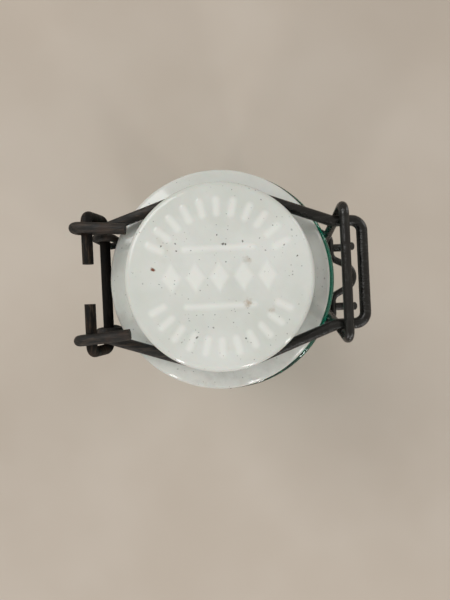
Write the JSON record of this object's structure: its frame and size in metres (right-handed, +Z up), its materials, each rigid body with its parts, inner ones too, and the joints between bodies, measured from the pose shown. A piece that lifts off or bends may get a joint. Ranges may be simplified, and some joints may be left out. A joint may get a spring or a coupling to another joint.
{
  "type": "swing top preserving bottle",
  "caption": "Wide-mouthed green glass preserving bottle with a white opal glass lid, a rubber seal and a hinged iron wire bail latched by a stirrup.",
  "frame": {"origin": "centre of the standing ring, on the bottle's axis", "axes": "+Z up along the bottle's axis, +X towards the latch, +Y across the closure"},
  "size_m": [0.0985, 0.09, 0.256],
  "materials": {
    "green_glass": "pale green pressed glass, thick and glossy",
    "opal_glass": "opaque white glass, glossy, with small pits and stains",
    "seal_rubber": "aged red-brown rubber",
    "iron_wire": "dark patinated iron wire with rust in the folds"
  },
  "bodies": {
    "bottle": {"bottle": "green_glass", "neck_wire": "iron_wire", "hinge_wire": "iron_wire"},
    "bail": {"bail": "iron_wire"},
    "lid": {"lid": "opal_glass", "seal": "seal_rubber"},
    "stirrup": {"stirrup": "iron_wire"}
  },
  "joints": [
    {"name": "bail_hinge", "type": "hinge", "parent": "bottle", "child": "bail", "pos_m": [-0.0426, 0, 0.2462], "axis": [0, -1, 0], "range_deg": [0, 218]},
    {"name": "stirrup_swing", "type": "hinge", "parent": "bottle", "child": "stirrup", "pos_m": [0.041, 0, 0.212], "axis": [0, 1, 0], "range_deg": [0, 186]},
    {"name": "lid_turn", "type": "hinge", "parent": "bail", "child": "lid", "pos_m": [-0.0018, 0, 0.246], "axis": [0, 0, 1], "continuous": true}
  ]
}
